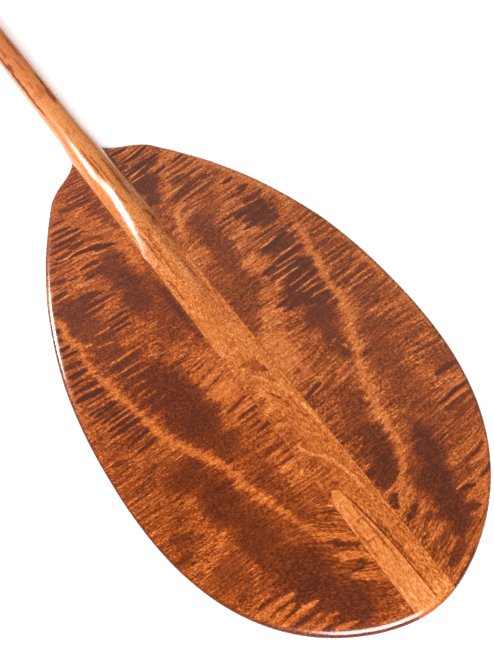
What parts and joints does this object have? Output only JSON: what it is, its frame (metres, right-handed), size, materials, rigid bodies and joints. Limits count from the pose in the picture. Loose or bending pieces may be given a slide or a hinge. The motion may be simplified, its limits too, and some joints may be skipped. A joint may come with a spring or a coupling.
{
  "type": "canoe paddle",
  "caption": "Single-bladed wooden outrigger canoe paddle: wide oval blade, central ridge fading into it from a slightly oval shaft, and a T grip.",
  "frame": {"origin": "bottom centre of the bounding box, on the plane of the flat back face that the paddle rests on", "axes": "+Y from the blade tip to the grip, +Z out of the ridged face, +X across the blade"},
  "size_m": [0.301, 1.524, 0.026],
  "materials": {
    "shaft_wood": "golden straight-grained hardwood, gloss varnish",
    "blade_wood": "dark red-brown curly figured hardwood, gloss varnish",
    "pale_wood": "pale golden hardwood, gloss varnish",
    "grip_wood": "red-brown hardwood, satin varnish",
    "wedge_wood": "dark hardwood end, varnished",
    "dowel_wood": "plain birch, unfinished"
  },
  "bodies": {
    "root": {"shaft_spine": "shaft_wood", "wing_left": "blade_wood", "wing_right": "blade_wood", "tip_strip": "pale_wood", "dowel_left_1": "dowel_wood", "dowel_left_2": "dowel_wood", "dowel_left_3": "dowel_wood", "dowel_left_4": "dowel_wood", "dowel_left_5": "dowel_wood", "dowel_right_1": "dowel_wood", "dowel_right_2": "dowel_wood", "dowel_right_3": "dowel_wood", "dowel_right_4": "dowel_wood", "dowel_right_5": "dowel_wood", "t_grip": "grip_wood", "tenon_wedge_1": "wedge_wood", "tenon_wedge_2": "wedge_wood"}
  },
  "joints": []
}
